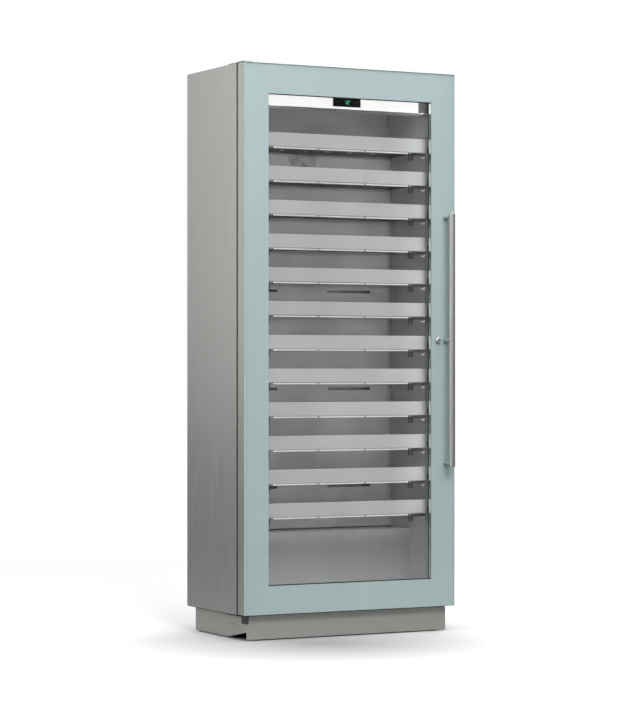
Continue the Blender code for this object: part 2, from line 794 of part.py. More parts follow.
def hinges():
    """Fixed brackets above and below the door, each with the pin that it turns on."""
    spot = (HINGE_X, HINGE_Y, 0.0)
    top = CASE_TOP + GAP
    upper = box("upper_hinge", (-0.448, -0.206, top), (-0.410, -0.080, top + 0.003), STEEL)
    soften(upper, 0.0005)
    join(upper, rod(HINGE_PIN, "Z", spot, top - 0.019, top + 0.0015, 12))
    high = CASE_BOTTOM - SHEET - GAP
    low = high - 0.003
    lower = box("lower_hinge", (-0.448, -0.206, low), (-0.4268, -0.060, high), BLACK_METAL)
    join(lower, box("tool", (-0.4290, -0.2040, 0.063), (-0.4268, -0.150, low + 0.001), BLACK_METAL))
    join(lower, rod(HINGE_PIN, "Z", spot, low + 0.001, high + 0.019, 12))


# ---------------------------------------------------------------- assembly
clear_scene()
case_panels()
inner_liner()
insulation_foam()
base_frame()
plinth()
for foot_name, foot_place in FEET.items():
    foot(foot_name, *foot_place)
shelves()
rail_ladder("left_rail_ladder", -1)
rail_ladder("right_rail_ladder", 1)
control_header()
air_duct_cover()
cooling_blocks()
machine_compartment()
door()
hinges()
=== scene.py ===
"""Looks for the wine cooler column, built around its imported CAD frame.

Metres, +Z up, the door faces -Y. Every place comes from the boxes of the CAD nodes.
"""

import json
from math import cos, pi, radians, sin

import bmesh
import bpy
from mathutils import Matrix, Vector

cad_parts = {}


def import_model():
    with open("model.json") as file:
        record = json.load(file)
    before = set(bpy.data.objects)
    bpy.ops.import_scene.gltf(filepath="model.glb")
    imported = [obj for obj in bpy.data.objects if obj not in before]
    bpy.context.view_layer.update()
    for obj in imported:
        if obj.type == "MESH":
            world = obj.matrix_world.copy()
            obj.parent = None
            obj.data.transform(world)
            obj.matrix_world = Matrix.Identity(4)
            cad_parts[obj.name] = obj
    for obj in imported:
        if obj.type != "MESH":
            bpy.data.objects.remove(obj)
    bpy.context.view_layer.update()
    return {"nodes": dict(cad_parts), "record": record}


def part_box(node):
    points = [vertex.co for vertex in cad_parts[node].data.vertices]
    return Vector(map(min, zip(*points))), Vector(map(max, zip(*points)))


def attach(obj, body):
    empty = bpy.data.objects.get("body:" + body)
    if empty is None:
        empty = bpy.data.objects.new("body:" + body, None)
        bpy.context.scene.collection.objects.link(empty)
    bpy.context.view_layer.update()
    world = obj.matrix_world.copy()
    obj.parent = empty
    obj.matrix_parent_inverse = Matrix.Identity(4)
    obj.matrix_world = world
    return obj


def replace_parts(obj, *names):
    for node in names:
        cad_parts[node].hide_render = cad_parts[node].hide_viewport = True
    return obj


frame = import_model()
SHELVES = [f"shelf_{number:02d}" for number in range(1, 13)]


# ---------------------------------------------------------------- shader building
def add(tree, kind, inputs=None, **settings):
    """Adds a node. Each input takes a plain value or another node's output."""
    node = tree.nodes.new(kind)
    for key, value in settings.items():
        setattr(node, key, value)
    for socket, value in (inputs or {}).items():
        if isinstance(value, bpy.types.NodeSocket):
            tree.links.new(value, node.inputs[socket])
        else:
            node.inputs[socket].default_value = value
    return node


def grain(tree, scale, stretch=(1.0, 1.0, 1.0), detail=3.0):
    """Noise in the object's own space, drawn out along an axis by a small stretch value."""
    place = add(tree, "ShaderNodeTexCoord").outputs["Object"]
    drawn = add(tree, "ShaderNodeMapping", {"Vector": place, "Scale": stretch})
    inputs = {"Vector": drawn.outputs[0], "Scale": scale, "Detail": detail}
    return add(tree, "ShaderNodeTexNoise", inputs).outputs["Fac"]


def cells(tree, scale, output="Color"):
    place = add(tree, "ShaderNodeTexCoord").outputs["Object"]
    node = add(tree, "ShaderNodeTexVoronoi", {"Vector": place, "Scale": scale})
    return node.outputs[output]


def shades(tree, factor, dark, light, low=0.35, high=0.65):
    """A colour that runs from dark to light as the factor goes from low to high."""
    node = add(tree, "ShaderNodeValToRGB", {"Fac": factor})
    first, last = node.color_ramp.elements
    first.position, last.position = low, high
    first.color, last.color = (*dark, 1.0), (*light, 1.0)
    return node.outputs["Color"]


def between(tree, factor, low, high):
    """A plain value that runs from low to high over the middle of the factor's range."""
    inputs = {"Value": factor, "From Min": 0.3, "From Max": 0.7, "To Min": low, "To Max": high}
    return add(tree, "ShaderNodeMapRange", inputs).outputs[0]


def average(tree, first, second):
    total = add(tree, "ShaderNodeMath", {0: first, 1: second}, operation="ADD").outputs[0]
    return add(tree, "ShaderNodeMath", {0: total, 1: 0.5}, operation="MULTIPLY").outputs[0]


def drawn_out(along, scale):
    """Noise scales that draw a pattern out along one axis."""
    return tuple(scale if axis == along else 1.0 for axis in "XYZ")


def relief(tree, height, distance):
    inputs = {"Height": height, "Distance": distance}
    return add(tree, "ShaderNodeBump", inputs).outputs["Normal"]


def material(name, **sockets):
    """A Principled material with its plain values set. Returns it with its tree and shader."""
    made = bpy.data.materials.new(name)
    made.use_nodes = True
    shader = made.node_tree.nodes["Principled BSDF"]
    for socket, value in sockets.items():
        shader.inputs[socket.replace("_", " ")].default_value = value
    return made, made.node_tree, shader


def feed(tree, shader, **links):
    for socket, output in links.items():
        tree.links.new(output, shader.inputs[socket.replace("_", " ")])


def scaled(colour, by):
    return tuple(min(channel * by, 1.0) for channel in colour)


# ---------------------------------------------------------------- finishes
def brushed(name, colour, roughness, along, contrast=0.10, depth=0.00001, metallic=1.0):
    """Metal with fine straight brush lines along one axis and a broader streaky tone."""
    made, tree, shader = material(name, Metallic=metallic)
    lines = grain(tree, 850.0, drawn_out(along, 0.012), 2.0)
    streaks = grain(tree, 55.0, drawn_out(along, 0.04), 4.0)
    dark, light = scaled(colour, 1 - contrast), scaled(colour, 1 + contrast)
    feed(
        tree,
        shader,
        Base_Color=shades(tree, average(tree, lines, streaks), dark, light),
        Roughness=between(tree, lines, roughness - 0.06, roughness + 0.08),
        Normal=relief(tree, lines, depth),
    )
    return made


def galvanised(name, colour):
    """Zinc-coated sheet with its patchwork of crystals."""
    made, tree, shader = material(name, Metallic=1.0)
    crystal = add(tree, "ShaderNodeSeparateColor", {"Color": cells(tree, 95.0)}).outputs[0]
    fine = grain(tree, 400.0)
    feed(
        tree,
        shader,
        Base_Color=shades(tree, crystal, scaled(colour, 0.93), scaled(colour, 1.06), 0.0, 1.0),
        Roughness=between(tree, crystal, 0.46, 0.52),
        Normal=relief(tree, fine, 0.00004),
    )
    return made


def moulded(name, colour, roughness, scale=600.0, depth=0.00006, **sockets):
    """Moulded plastic or paint with a fine pebbled surface."""
    made, tree, shader = material(name, **sockets)
    pebbles = grain(tree, scale, detail=2.0)
    patches = grain(tree, 9.0)
    feed(
        tree,
        shader,
        Base_Color=shades(tree, patches, scaled(colour, 0.90), scaled(colour, 1.10)),
        Roughness=between(tree, pebbles, roughness - 0.05, roughness + 0.07),
        Normal=relief(tree, pebbles, depth),
    )
    return made


def polished(name, colour, roughness):
    """Bright metal with a faint haze of wiping marks."""
    made, tree, shader = material(name, Metallic=1.0)
    haze = grain(tree, 40.0, (1.0, 1.0, 0.25), 5.0)
    feed(
        tree,
        shader,
        Base_Color=shades(tree, haze, scaled(colour, 0.94), scaled(colour, 1.05)),
        Roughness=between(tree, haze, roughness, roughness + 0.07),
    )
    return made


def stained_wood(name, dark, light):
    """Stained timber with its grain along X: long fibres with darker growth bands."""
    made, tree, shader = material(name, Specular_IOR_Level=0.35)
    fibres = grain(tree, 420.0, drawn_out("X", 0.05), 4.0)
    bands = grain(tree, 60.0, drawn_out("X", 0.07), 3.0)
    feed(
        tree,
        shader,
        Base_Color=shades(tree, average(tree, fibres, bands), dark, light),
        Roughness=between(tree, fibres, 0.45, 0.65),
        Normal=relief(tree, fibres, 0.00012),
    )
    return made


def foamed(name, colour):
    """Cut rigid foam with open cells."""
    made, tree, shader = material(name)
    pores = cells(tree, 320.0, "Distance")
    patches = grain(tree, 14.0)
    feed(
        tree,
        shader,
        Base_Color=shades(tree, patches, scaled(colour, 0.85), scaled(colour, 1.08)),
        Roughness=between(tree, pores, 0.82, 0.95),
        Normal=relief(tree, pores, 0.0006),
    )
    return made


def rubbery(name, colour):
    made, tree, shader = material(name, Specular_IOR_Level=0.3)
    bloom = grain(tree, 30.0, detail=5.0)
    feed(
        tree,
        shader,
        Base_Color=shades(tree, bloom, scaled(colour, 0.8), scaled(colour, 1.5)),
        Roughness=between(tree, bloom, 0.62, 0.80),
        Normal=relief(tree, grain(tree, 900.0), 0.00005),
    )
    return made


def glass(name, tint):
    """A thin pane: it lets light straight through and mirrors more at a slant."""
    made = bpy.data.materials.new(name)
    made.use_nodes = True
    tree = made.node_tree
    tree.nodes.remove(tree.nodes["Principled BSDF"])
    head_on, at_a_slant = 0.043, 0.9
    facing = add(tree, "ShaderNodeLayerWeight", {"Blend": 0.5}).outputs["Facing"]
    steep = add(tree, "ShaderNodeMath", {0: facing, 1: 5.0}, operation="POWER").outputs[0]
    inputs = {"Value": steep, "To Min": head_on, "To Max": at_a_slant}
    share = add(tree, "ShaderNodeMapRange", inputs).outputs[0]
    wipes = grain(tree, 6.0, (1.0, 1.0, 0.4), 5.0)
    inputs = {"Color": shades(tree, wipes, scaled(tint, 0.985), tint)}
    clear = add(tree, "ShaderNodeBsdfTransparent", inputs)
    inputs = {"Color": (1.0, 1.0, 1.0, 1.0), "Roughness": between(tree, wipes, 0.0, 0.03)}
    mirror = add(tree, "ShaderNodeBsdfAnisotropic", inputs)
    both = add(tree, "ShaderNodeMixShader", {0: share, 1: clear.outputs[0], 2: mirror.outputs[0]})
    tree.links.new(both.outputs[0], tree.nodes["Material Output"].inputs["Surface"])
    return made


def printed(name, colour):
    """Satin colour printed on glass."""
    made, tree, shader = material(name, Specular_IOR_Level=0.2)
    clouds = grain(tree, 3.0, (1.0, 1.0, 0.5), 4.0)
    specks = grain(tree, 1500.0, detail=1.0)
    feed(
        tree,
        shader,
        Base_Color=shades(tree, clouds, scaled(colour, 0.975), scaled(colour, 1.025)),
        Roughness=between(tree, specks, 0.50, 0.62),
    )
    return made


# The colour sockets of a mix node share their names with its other sockets, so they go by number.
MIX_FIRST_COLOUR, MIX_SECOND_COLOUR, MIXED_COLOUR = 6, 7, 2


def handle_metal(name, bar, painted_post_tone, border):
    """A brushed bar with posts behind it in a darker teal-grey, which is painted shade and a
    painted reflection of the teal border: the tone changes at a depth on Y.
    """
    made = brushed(name, bar, 0.50, "Z", 0.03, 0.000008)
    tree = made.node_tree
    shader = tree.nodes["Principled BSDF"]
    place = add(tree, "ShaderNodeTexCoord").outputs["Object"]
    depth = add(tree, "ShaderNodeSeparateXYZ", {"Vector": place}).outputs["Y"]
    blur = 0.002
    inputs = {"Value": depth, "From Min": border - blur, "From Max": border + blur}
    share = add(tree, "ShaderNodeMapRange", inputs).outputs[0]
    source = shader.inputs["Base Color"].links[0].from_socket
    painted_post_shade = shades(tree, grain(tree, 700.0), scaled(painted_post_tone, 0.85), scaled(painted_post_tone, 1.15))
    inputs = {"Factor": share, MIX_FIRST_COLOUR: source, MIX_SECOND_COLOUR: painted_post_shade}
    mixed = add(tree, "ShaderNodeMix", inputs, data_type="RGBA")
    feed(tree, shader, Base_Color=mixed.outputs[MIXED_COLOUR])
    return made


def glowing(name, colour, light, strength):
    made, tree, shader = material(name, Emission_Color=(*light, 1.0), Emission_Strength=strength)
    frost = grain(tree, 500.0, detail=2.0)
    feed(
        tree,
        shader,
        Base_Color=shades(tree, frost, scaled(colour, 0.92), colour),
        Roughness=between(tree, frost, 0.35, 0.5),
        Normal=relief(tree, frost, 0.00003),
    )
    return made


STEEL_TONE = (0.578, 0.586, 0.560)
ALUMINIUM_TONE = (0.808, 0.818, 0.826)
CLEAR = (0.980, 0.981, 0.982)
# Just behind the handle's bar, where only its posts run on to the glass.
POSTS_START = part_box("handle")[0].y + 0.025
FINISHES = {
    "brushed_steel_case": brushed("brushed_steel_case", STEEL_TONE, 0.40, "Z", 0.035),
    "galvanised_sheet": galvanised("galvanised_sheet", (0.58, 0.59, 0.60)),
    "plinth_steel": brushed("plinth_steel", (0.490, 0.492, 0.466), 0.42, "X", 0.035, 0.00002, 0.6),
    "front_glass": glass("front_glass", CLEAR),
    "clear_glass": glass("clear_glass", CLEAR),
    "spacer_black": moulded("spacer_black", (0.020, 0.022, 0.022), 0.40),
    "gasket_rubber": rubbery("gasket_rubber", (0.035, 0.035, 0.036)),
    # The posts' darker teal-grey is painted shade and a painted reflection of the teal border
    # print.
    "handle_steel": handle_metal(
        "handle_steel", (0.41, 0.42, 0.41), (0.46, 0.53, 0.52), POSTS_START
    ),
    "lock_chrome": polished("lock_chrome", (0.86, 0.86, 0.86), 0.10),
    "band_aluminium": brushed("band_aluminium", ALUMINIUM_TONE, 0.45, "X", 0.03, 0.00001, 0.10),
    "rack_wood": stained_wood("rack_wood", (0.040, 0.033, 0.027), (0.100, 0.082, 0.067)),
    "rail_grey": moulded("rail_grey", (0.42, 0.43, 0.43), 0.38),
    # Near-black base frame. Its colour also paints the shade in the slot between the door's bottom
    # and the kick plate.
    "black_paint": moulded("black_paint", (0.010, 0.010, 0.010), 0.42),
    "liner_plastic": brushed("liner_plastic", (0.60, 0.61, 0.61), 0.42, "Z", 0.05, 0.00001, 0.4),
    "insulation": foamed("insulation", (0.72, 0.62, 0.36)),
    "duct_plastic": moulded("duct_plastic", (0.42, 0.43, 0.43), 0.42),
    "light_white": glowing("light_white", (0.88, 0.88, 0.87), (1.0, 0.99, 0.975), 1.10),
    "display_black": moulded(
        "display_black", (0.0030, 0.0035, 0.0035), 0.36, 900.0, 0.000005, Specular_IOR_Level=0.12
    ),
    "fin_aluminium": brushed("fin_aluminium", (0.66, 0.67, 0.68), 0.35, "Z"),
    "black_enamel": moulded(
        "black_enamel", (0.018, 0.018, 0.019), 0.28, 260.0, 0.00005, Coat_Weight=0.4
    ),
    "black_plastic": moulded("black_plastic", (0.022, 0.022, 0.023), 0.45),
    "hinge_steel": brushed("hinge_steel", (0.30, 0.29, 0.28), 0.42, "Y"),
    "enamel": printed("enamel", (0.412, 0.513, 0.508)),
    "pane_edge": moulded("pane_edge", (0.42, 0.50, 0.49), 0.22, 500.0, 0.00002),
    "mirror_trim": polished("mirror_trim", (0.84, 0.85, 0.85), 0.08),
    # The support rods' material glows though they are no lamp: painted light that keeps them
    # bright under the bands.
    "white_wire": glowing("white_wire", (0.90, 0.90, 0.90), (1.0, 1.0, 1.0), 0.36),
    "runner_plastic": moulded("runner_plastic", (0.070, 0.074, 0.074), 0.42),
    "catch_white": moulded("catch_white", (0.80, 0.81, 0.81), 0.45, 900.0, 0.00001),
    "pale_grey": moulded("pale_grey", (0.88, 0.88, 0.86), 0.45),
    "digit_green": glowing("digit_green", (0.05, 0.35, 0.20), (0.15, 1.0, 0.55), 1.4),
    "grey_plastic": moulded("grey_plastic", (0.24, 0.25, 0.25), 0.42),
    "zinc_screw": brushed("zinc_screw", (0.52, 0.52, 0.50), 0.34, "X", 0.08, 0.00001),
    "copper": brushed("copper", (0.78, 0.42, 0.28), 0.34, "X"),
}


def dress_cad_nodes():
    """Gives every CAD node the finish of its material slot in the record."""
    for part in frame["record"]["subparts"]:
        node = frame["nodes"][part["node"]]
        node.data.materials.clear()
        node.data.materials.append(FINISHES[part["material_slot"]])


# ---------------------------------------------------------------- mesh building
def piece(name, shape, look, body, smooth=None):
    """Turns a bmesh into a named piece that rides on a body."""
    bmesh.ops.recalc_face_normals(shape, faces=shape.faces)
    mesh = bpy.data.meshes.new(name)
    shape.to_mesh(mesh)
    shape.free()
    looks = look if isinstance(look, (list, tuple)) else [look]
    for each in looks:
        mesh.materials.append(FINISHES[each])
    if smooth is not None:
        mesh.shade_smooth()
        mesh.set_sharp_from_angle(angle=radians(smooth))
    made = bpy.data.objects.new(name, mesh)
    bpy.context.scene.collection.objects.link(made)
    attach(made, body)
    return made


def add_block(shape, low, high, ease=0.0, segments=1):
    """Adds a box with eased edges."""
    low, high = Vector(low), Vector(high)
    place = Matrix.LocRotScale((low + high) / 2, None, high - low)
    corners = bmesh.ops.create_cube(shape, size=1.0, matrix=place)["verts"]
    if ease:
        edges = list({edge for corner in corners for edge in corner.link_edges})
        bmesh.ops.bevel(shape, geom=edges, offset=ease, segments=segments, affect="EDGES")


def ring_of(shape, centre, axis, radius, count):
    """Adds a circle of vertices round an axis, given as a direction."""
    turn = Vector(axis).to_track_quat("Z", "Y")
    spots = []
    for n in range(count):
        angle = 2 * pi * n / count
        offset = turn @ Vector((radius * cos(angle), radius * sin(angle), 0.0))
        spots.append(shape.verts.new(Vector(centre) + offset))
    return spots


def bridge(shape, first, second):
    for n, vertex in enumerate(first):
        after = (n + 1) % len(first)
        shape.faces.new((vertex, first[after], second[after], second[n]))


def skin(shape, rows, closed=False):
    """Joins rows of vertices. A closed run ends on its first row, an open one gets end faces."""
    following = rows[1:] + rows[:1] if closed else rows[1:]
    for first, second in zip(rows, following):
        bridge(shape, first, second)
    if not closed:
        shape.faces.new(rows[0])
        shape.faces.new(rows[-1])


def add_turned(shape, centre, axis, profile, count=20, closed=False):
    """Adds a turned form: its profile is a list of (radius, distance along the axis)."""
    axis = Vector(axis).normalized()
    rings = [ring_of(shape, Vector(centre) + axis * d, axis, r, count) for r, d in profile]
    skin(shape, rings, closed)


def add_tube(shape, points, radius):
    """Adds a round bar that follows a path, with a ring square to the path at each point."""
    points = [Vector(point) for point in points]
    rings = []
    for n, point in enumerate(points):
        before, after = points[max(n - 1, 0)], points[min(n + 1, len(points) - 1)]
        rings.append(ring_of(shape, point, (after - before).normalized(), radius, 10))
    skin(shape, rings)


def add_prism(shape, outline, start, end):
    """Adds a straight bar: its outline's points are in 3D and move from start to end."""
    first = [shape.verts.new(Vector(point) + Vector(start)) for point in outline]
    second = [shape.verts.new(Vector(point) + Vector(end)) for point in outline]
    skin(shape, [first, second])


def middle(node):
    low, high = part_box(node)
    return (low + high) / 2


def spread(start, end, count):
    """Evenly spaced values from start to end."""
    return [start + (end - start) * n / (count - 1) for n in range(count)]


def screws(name, spots, axis, radius):
    """Pan-head screws with a round socket, set on the given spots."""
    shape = bmesh.new()
    tall = radius * 0.55
    profile = [
        (radius, 0.0),
        (radius, tall * 0.35),
        (radius * 0.86, tall * 0.80),
        (radius * 0.60, tall),
        (radius * 0.38, tall),
        (radius * 0.34, tall * 0.45),
    ]
    for spot in spots:
        add_turned(shape, spot, axis, profile, 12)
    piece(name, shape, "zinc_screw", "cabinet", 40)


# ---------------------------------------------------------------- door
def border_rows(shape, outlines):
    """Adds closed four-cornered rows, each given as (low x, low z, high x, high z, y)."""
    rows = []
    for x0, z0, x1, z1, y in outlines:
        corners = [(x0, y, z0), (x1, y, z0), (x1, y, z1), (x0, y, z1)]
        rows.append([shape.verts.new(corner) for corner in corners])
    return rows


def add_border(shape, outlines):
    """Adds a rectangular ring whose section runs through the given outlines."""
    skin(shape, border_rows(shape, outlines), closed=True)


def grown_box(corners, by):
    """An outline (low x, low z, high x, high z) with every side moved out."""
    x0, z0, x1, z1 = corners
    return x0 - by, z0 - by, x1 + by, z1 + by


def window_box():
    """The clear window's edges: x and z of its low corner, then of its high corner."""
    low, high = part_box("glazing_spacer")
    spacer_rim = 0.013
    return grown_box((low.x, low.z, high.x, high.z), -spacer_rim)


def lock_drill(depth):
    """A round cutter, narrower than the lock's head, that starts in front of the pane."""
    lock, face = middle("lock_cylinder"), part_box("front_pane")[0].y
    radius = (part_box("lock_cylinder")[1].x - lock.x) * 0.75
    start = (lock.x, face - 0.01, lock.z)
    hole = bmesh.new()
    add_turned(hole, start, (0, 1, 0), [(radius, 0.0), (radius, depth)], 32)
    return piece("lock_drill", hole, "enamel", "door")


def bored(made):
    """Cuts the lock's hole through a piece."""
    drill = lock_drill(0.03)
    step = made.modifiers.new("lock_hole", "BOOLEAN")
    step.operation, step.solver, step.object = "DIFFERENCE", "EXACT", drill
    applied = made.evaluated_get(bpy.context.evaluated_depsgraph_get())
    made.modifiers.clear()
    made.data = bpy.data.meshes.new_from_object(applied)
    bpy.data.objects.remove(drill)
    return made


def door_glass():
    """The front pane with eased edges, in place of the CAD pane."""
    low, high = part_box("front_pane")
    pane = (low.x, low.z, high.x, high.z)
    ease = 0.0012
    eased = grown_box(pane, -ease)
    shape = bmesh.new()
    outlines = [(*eased, low.y), (*pane, low.y + ease), (*pane, high.y - ease), (*eased, high.y)]
    skin(shape, border_rows(shape, outlines))
    made = piece("door_glass", shape, ["front_glass", "pane_edge"], "door")
    for face in made.data.polygons:
        face.material_index = 0 if abs(face.normal.y) > 0.9 else 1
    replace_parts(bored(made), "front_pane")


def border_print():
    """The coloured border, just inside the back of the pane."""
    low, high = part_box("front_pane")
    window, outside = window_box(), grown_box((low.x, low.z, high.x, high.z), -0.0016)
    front, back = high.y - 0.0006, high.y - 0.0002
    shape = bmesh.new()
    add_border(shape, [(*window, front), (*outside, front), (*outside, back), (*window, back)])
    bored(piece("door_border_print", shape, "enamel", "door"))


def lock_surround():
    """A thin dark ring round the lock."""
    centre, face = middle("lock_cylinder"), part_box("front_pane")[0].y
    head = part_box("lock_cylinder")[1].x - centre.x
    profile = [
        (head + 0.0005, -0.0001),
        (head + 0.0021, -0.0001),
        (head + 0.0019, -0.0009),
        (head + 0.0008, -0.0012),
    ]
    shape = bmesh.new()
    add_turned(shape, (centre.x, face, centre.z), (0, 1, 0), profile, 32, closed=True)
    piece("lock_surround", shape, "grey_plastic", "door", 40)


def window_edges():
    """Black strips that paint a shade line along the window's top and bottom, and mirror strips on
    the spacer's sides.
    """
    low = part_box("glazing_spacer")[0]
    x0, z0, x1, z1 = grown_box(window_box(), -0.0002)
    # These black strips are painted shade along the window's top and bottom edges.
    shade_strip_height = 0.0040
    profile = [(0.0002, 0.0), (0.0002, shade_strip_height), (0.0018, shade_strip_height * 0.8), (0.0024, 0.0)]
    shape = bmesh.new()
    for edge, way in ((z0, 1), (z1, -1)):
        outline = [Vector((0.0, low.y + y, edge + way * z)) for y, z in profile]
        add_prism(shape, outline, (x0, 0.0, 0.0), (x1, 0.0, 0.0))
    piece("window_painted_shade_strips", shape, "spacer_black", "door")

    strips = bmesh.new()
    front, back, thick = low.y + 0.0004, low.y + 0.0152, 0.0005
    for start, end in ((x0, x0 + thick), (x1 - thick, x1)):
        add_block(strips, (start, front, z0 + shade_strip_height), (end, back, z1 - shade_strip_height), 0.0001)
    piece("spacer_strips", strips, "mirror_trim", "door")


def gasket_folds():
    """Two soft folds along the outer flank of the gasket."""
    low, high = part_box("door_gasket")
    depth, width, sink = high.y - low.y, 0.0016, 0.0002
    section = ((-width, 0.25), (0.0, 0.05), (width, 0.25), (0.0, 0.45))
    for number, inset in enumerate((0.006, 0.014), start=1):
        line = (low.x + inset, low.z + inset, high.x - inset, high.z - inset)
        shape = bmesh.new()
        outlines = [(*grown_box(line, by), low.y + depth * y - sink) for by, y in section]
        add_border(shape, outlines)
        piece(f"gasket_fold_{number}", shape, "gasket_rubber", "door")


# ---------------------------------------------------------------- header
SEGMENTS = {
    "a": ((0.0, 1.0), (1.0, 1.0)),
    "b": ((1.0, 1.0), (1.0, 0.5)),
    "c": ((1.0, 0.5), (1.0, 0.0)),
    "d": ((0.0, 0.0), (1.0, 0.0)),
    "e": ((0.0, 0.5), (0.0, 0.0)),
    "f": ((0.0, 1.0), (0.0, 0.5)),
    "g": ((0.0, 0.5), (1.0, 0.5)),
}
DIGITS = {"1": "bc", "2": "abged"}


def add_digit(shape, digit, left, low, wide, tall, face):
    """Adds the lit bars of one digit, each a flat bar with pointed ends."""
    half = 0.0009
    for letter in DIGITS[digit]:
        (x0, z0), (x1, z1) = SEGMENTS[letter]
        start = Vector((left + wide * x0, 0.0, low + tall * z0))
        end = Vector((left + wide * x1, 0.0, low + tall * z1))
        run = (end - start).normalized()
        start, end = start + run * half * 1.3, end - run * half * 1.3
        side = Vector((run.z, 0.0, -run.x)) * half
        outline = [start, start + run * half + side, end - run * half + side]
        outline += [end, end - run * half - side, start + run * half - side]
        add_prism(shape, outline, (0.0, face, 0.0), (0.0, face - 0.0003, 0.0))


def display_details():
    """Two digits with a degree mark, a thin bezel and four flat keys."""
    low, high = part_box("display_module")
    face, centre = low.y, middle("display_module").x
    tall, wide, base = 0.013, 0.0065, low.z + 0.0105
    dot, raised = 0.0012, 0.0003
    shape = bmesh.new()
    add_digit(shape, "1", centre - 0.0105, base, wide, tall, face)
    add_digit(shape, "2", centre + 0.0015, base, wide, tall, face)
    degree = (centre + 0.0125, face, base + tall - dot)
    add_turned(shape, degree, (0, -1, 0), [(dot, 0.0), (dot, raised)], 12)
    piece("display_digits", shape, "digit_green", "cabinet")

    bezel = bmesh.new()
    rim, width, step = 0.0016, 0.0012, -0.0006
    outer = grown_box((low.x, low.z, high.x, high.z), -rim)
    inner = grown_box(outer, -width)
    outlines = [(*outer, face), (*outer, face + step), (*inner, face + step), (*inner, face)]
    add_border(bezel, outlines)
    piece("display_bezel", bezel, "grey_plastic", "cabinet")

    keys = bmesh.new()
    profile = [(0.0040, 0.0), (0.0040, -0.0006), (0.0032, -0.0010)]
    for offset in (-0.044, -0.030, 0.030, 0.044):
        add_turned(keys, (centre + offset, face, base + tall / 2), (0, 1, 0), profile, 20)
    piece("display_keys", keys, "black_plastic", "cabinet", 40)


def header_end_block():
    """A bright rim and a pale plate on the block at the right end of the header."""
    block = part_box("control_header")[0]
    diffuser_low, diffuser_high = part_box("light_diffuser")
    rim, inset, ease = 0.0022, 0.0012, 0.0003
    front = block.y - 0.0012
    back = front + 0.0014
    start, end, top = diffuser_high.x + 0.0004, -diffuser_low.x, diffuser_high.z
    trim = bmesh.new()
    add_block(trim, (end - rim, front, block.z), (end, back, top), ease)
    add_block(trim, (start, front, block.z), (end - rim - 0.0002, back, block.z + rim), ease)
    piece("header_block_rim", trim, "band_aluminium", "cabinet")

    plate = bmesh.new()
    corner = (start + inset, block.y - 0.0006, block.z + rim + inset)
    add_block(plate, corner, (end - rim - inset, block.y - 0.0001, top - inset), 0.0002)
    piece("header_end_plate", plate, "pale_grey", "cabinet")


# ---------------------------------------------------------------- duct cover and shelves
def fan_guard():
    """A moulded guard of rings and spokes over the fan's opening in the duct cover."""
    low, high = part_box("evaporator_fan_impeller")
    face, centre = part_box("air_duct_cover")[0].y, (low + high) / 2
    hub, reach = 0.010, (high.x - low.x) / 2 + 0.006
    back, front = -0.0004, -0.0032
    half_ring, half_spoke, spokes = 0.0022, 0.0016, 6
    shape = bmesh.new()
    for radius in spread(hub, reach, 8):
        inner, outer = radius - half_ring, radius + half_ring
        profile = [(inner, back), (inner, front), (outer, front), (outer, back)]
        add_turned(shape, (centre.x, face, centre.z), (0, 1, 0), profile, 40, closed=True)
    corners = [(hub, -half_spoke), (reach, -half_spoke), (reach, half_spoke), (hub, half_spoke)]
    hub_place = Vector((centre.x, 0.0, centre.z))
    for n in range(spokes):
        turn = Matrix.Rotation(2 * pi * n / spokes, 4, "Y")
        spoke = [turn @ Vector((x, 0.0, z)) + hub_place for x, z in corners]
        start, end = face + back - 0.0002, face + front - 0.0004
        add_prism(shape, spoke, (0.0, start, 0.0), (0.0, end, 0.0))
    piece("evaporator_fan_guard", shape, "duct_plastic", "cabinet", 40)


CLIP_PLACES = (-0.300, -0.100, 0.100, 0.300)


def add_runner_end(shape, side, corner_x, base):
    """Adds the moulded end of a runner: hanging ribs, and three flat slats below the band."""
    rib_start, rib_pitch, rib_width, ease = 0.2990, 0.0066, 0.0022, 0.0005
    for n in range(4):
        near = rib_start + n * rib_pitch
        x0, x1 = sorted((side * near, side * (near + rib_width)))
        low, high = Vector((x0, 0.0, -0.0300)), Vector((x1, 0.0045, -0.0090))
        add_block(shape, base + low, base + high, ease)
    slat_start, slat_pitch, slat_height = 0.2965, 0.0038, 0.0024
    x0, x1 = sorted((side * slat_start, side * corner_x))
    for n in range(3):
        top = -0.0012 - n * slat_pitch
        low, high = Vector((x0, 0.0, top - slat_height)), Vector((x1, 0.006, top))
        add_block(shape, base + low, base + high, ease)


